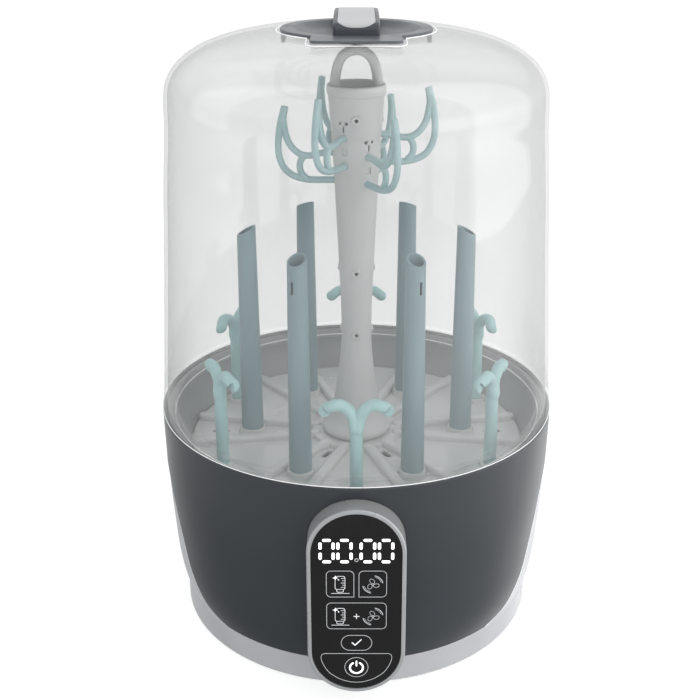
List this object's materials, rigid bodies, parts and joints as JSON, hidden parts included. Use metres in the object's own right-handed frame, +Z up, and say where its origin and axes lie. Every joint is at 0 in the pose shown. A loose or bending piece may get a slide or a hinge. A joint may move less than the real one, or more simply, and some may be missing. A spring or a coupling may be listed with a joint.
{
  "type": "bottle sterilizer",
  "caption": "Free-standing steam sterilizer and dryer for baby bottles: round base with upright control panel, rack with posts, pegs and centre hook tower under a tall clear lift-off cover.",
  "frame": {"origin": "centre of the round foot on the table, at the underside of the rubber foot ring", "axes": "+Z up along the round body's axis, -Y towards the control panel, +X to the right seen from the front"},
  "size_m": [0.28, 0.293, 0.4305],
  "materials": {
    "clear_cover": "clear moulded polycarbonate, polished",
    "grip_grey": "satin dark grey",
    "grip_inlay": "satin light grey",
    "clip_grey": "satin grey",
    "steel": "plated",
    "tower_grey": "fine satin light grey",
    "tray_grey": "fine satin light grey",
    "hook_teal": "satin pale teal",
    "peg_teal": "satin pale teal",
    "post_teal": "satin grey teal",
    "charcoal": "satin charcoal",
    "silver": "satin silver",
    "filter_frame": "satin silver grey",
    "panel_black": "polished black",
    "tub_grey": "satin mid grey",
    "base_dark": "textured dark grey",
    "rubber": "matt",
    "silicone": "translucent matt",
    "stainless": "spun stainless",
    "cast_alu": "as cast",
    "zinc_steel": "zinc plated",
    "fuse_body": "fibre sleeve",
    "circuit_board": "solder mask",
    "display_body": "black body",
    "spring_metal": "tinned",
    "component_black": "matt black",
    "pin_brass": "nickelled brass",
    "heater_ceramic": "fins on ceramic",
    "impeller_white": "satin",
    "filter_paper": "pleated paper",
    "wire": "silicone insulated"
  },
  "bodies": {
    "base": {"front_shell": "charcoal", "rear_shell": "silver", "plinth_ring": "silver", "bottom_plate": "base_dark", "foot_ring": "rubber", "casing_screws": "steel", "well_tub": "tub_grey", "air_grille": "tub_grey", "plate_seal": "silicone", "heating_plate": "stainless", "heating_element": "cast_alu", "plate_bracket": "zinc_steel", "thermostat": "zinc_steel", "thermal_fuse": "fuse_body", "panel_bezel": "silver", "panel_lens": "panel_black", "touch_board": "circuit_board", "display_module": "display_body", "touch_pads": "spring_metal", "panel_screws": "steel", "power_board": "circuit_board", "board_parts": "component_black", "inner_screws": "steel", "fan_housing": "base_dark", "fan_motor": "zinc_steel", "air_heater": "heater_ceramic", "air_duct": "base_dark", "power_inlet": "component_black", "inlet_pins": "pin_brass", "wiring_loom": "wire"},
    "cover": {"clear_dome": "clear_cover", "handle_dish": "grip_grey", "handle_bridge": "grip_grey", "handle_inlay": "grip_inlay", "handle_screws": "steel", "handle_clips": "clip_grey"},
    "rack": {"rack_tray": "tray_grey"},
    "tower": {"drying_tower": "tower_grey"},
    "fan_rotor": {"fan_impeller": "impeller_white", "motor_shaft": "zinc_steel"},
    "filter_drawer": {"filter_cover": "filter_frame", "hepa_filter": "filter_paper"},
    "hook_1": {"hook_1": "hook_teal"},
    "hook_2": {"hook_2": "hook_teal"},
    "hook_3": {"hook_3": "hook_teal"},
    "hook_4": {"hook_4": "hook_teal"},
    "hook_5": {"hook_5": "hook_teal"},
    "hook_6": {"hook_6": "hook_teal"},
    "post_1": {"post_1": "post_teal"},
    "post_2": {"post_2": "post_teal"},
    "post_3": {"post_3": "post_teal"},
    "post_4": {"post_4": "post_teal"},
    "post_5": {"post_5": "post_teal"},
    "post_6": {"post_6": "post_teal"},
    "peg_1": {"peg_1": "peg_teal"},
    "peg_2": {"peg_2": "peg_teal"},
    "peg_3": {"peg_3": "peg_teal"},
    "peg_4": {"peg_4": "peg_teal"},
    "peg_5": {"peg_5": "peg_teal"},
    "peg_6": {"peg_6": "peg_teal"}
  },
  "joints": [
    {"name": "cover_lift", "type": "slide", "parent": "base", "child": "cover", "axis": [0, 0, 1], "range_m": [0, 0.3]},
    {"name": "rack_lift", "type": "slide", "parent": "base", "child": "rack", "axis": [0, 0, 1], "range_m": [0, 0.105]},
    {"name": "tower_lift", "type": "slide", "parent": "rack", "child": "tower", "axis": [0, 0, 1], "range_m": [0, 0.12]},
    {"name": "hook_1_pull", "type": "slide", "parent": "tower", "child": "hook_1", "axis": [1, 0, 0], "range_m": [0, 0.012]},
    {"name": "hook_2_pull", "type": "slide", "parent": "tower", "child": "hook_2", "axis": [0.5, 0.866, 0], "range_m": [0, 0.012]},
    {"name": "hook_3_pull", "type": "slide", "parent": "tower", "child": "hook_3", "axis": [-0.5, 0.866, 0], "range_m": [0, 0.012]},
    {"name": "hook_4_pull", "type": "slide", "parent": "tower", "child": "hook_4", "axis": [-1, 0, 0], "range_m": [0, 0.012]},
    {"name": "hook_5_pull", "type": "slide", "parent": "tower", "child": "hook_5", "axis": [-0.5, -0.866, 0], "range_m": [0, 0.012]},
    {"name": "hook_6_pull", "type": "slide", "parent": "tower", "child": "hook_6", "axis": [0.5, -0.866, 0], "range_m": [0, 0.012]},
    {"name": "post_1_lift", "type": "slide", "parent": "rack", "child": "post_1", "axis": [0, 0, 1], "range_m": [0, 0.02]},
    {"name": "post_2_lift", "type": "slide", "parent": "rack", "child": "post_2", "axis": [0, 0, 1], "range_m": [0, 0.02]},
    {"name": "post_3_lift", "type": "slide", "parent": "rack", "child": "post_3", "axis": [0, 0, 1], "range_m": [0, 0.02]},
    {"name": "post_4_lift", "type": "slide", "parent": "rack", "child": "post_4", "axis": [0, 0, 1], "range_m": [0, 0.02]},
    {"name": "post_5_lift", "type": "slide", "parent": "rack", "child": "post_5", "axis": [0, 0, 1], "range_m": [0, 0.02]},
    {"name": "post_6_lift", "type": "slide", "parent": "rack", "child": "post_6", "axis": [0, 0, 1], "range_m": [0, 0.02]},
    {"name": "peg_1_lift", "type": "slide", "parent": "rack", "child": "peg_1", "axis": [0, 0, 1], "range_m": [0, 0.02]},
    {"name": "peg_2_lift", "type": "slide", "parent": "rack", "child": "peg_2", "axis": [0, 0, 1], "range_m": [0, 0.02]},
    {"name": "peg_3_lift", "type": "slide", "parent": "rack", "child": "peg_3", "axis": [0, 0, 1], "range_m": [0, 0.02]},
    {"name": "peg_4_lift", "type": "slide", "parent": "rack", "child": "peg_4", "axis": [0, 0, 1], "range_m": [0, 0.02]},
    {"name": "peg_5_lift", "type": "slide", "parent": "rack", "child": "peg_5", "axis": [0, 0, 1], "range_m": [0, 0.02]},
    {"name": "peg_6_lift", "type": "slide", "parent": "rack", "child": "peg_6", "axis": [0, 0, 1], "range_m": [0, 0.02]},
    {"name": "fan_spin", "type": "hinge", "parent": "base", "child": "fan_rotor", "pos_m": [0, 0.046, 0.03], "axis": [0, 0, 1], "continuous": true},
    {"name": "filter_slide", "type": "slide", "parent": "base", "child": "filter_drawer", "axis": [0, 1, 0], "range_m": [0, 0.06]}
  ],
  "couplings": [
    {"joint": "rack_lift", "follows": "cover_lift", "ratio": 0.35},
    {"joint": "tower_lift", "follows": "cover_lift", "ratio": 0.4}
  ]
}
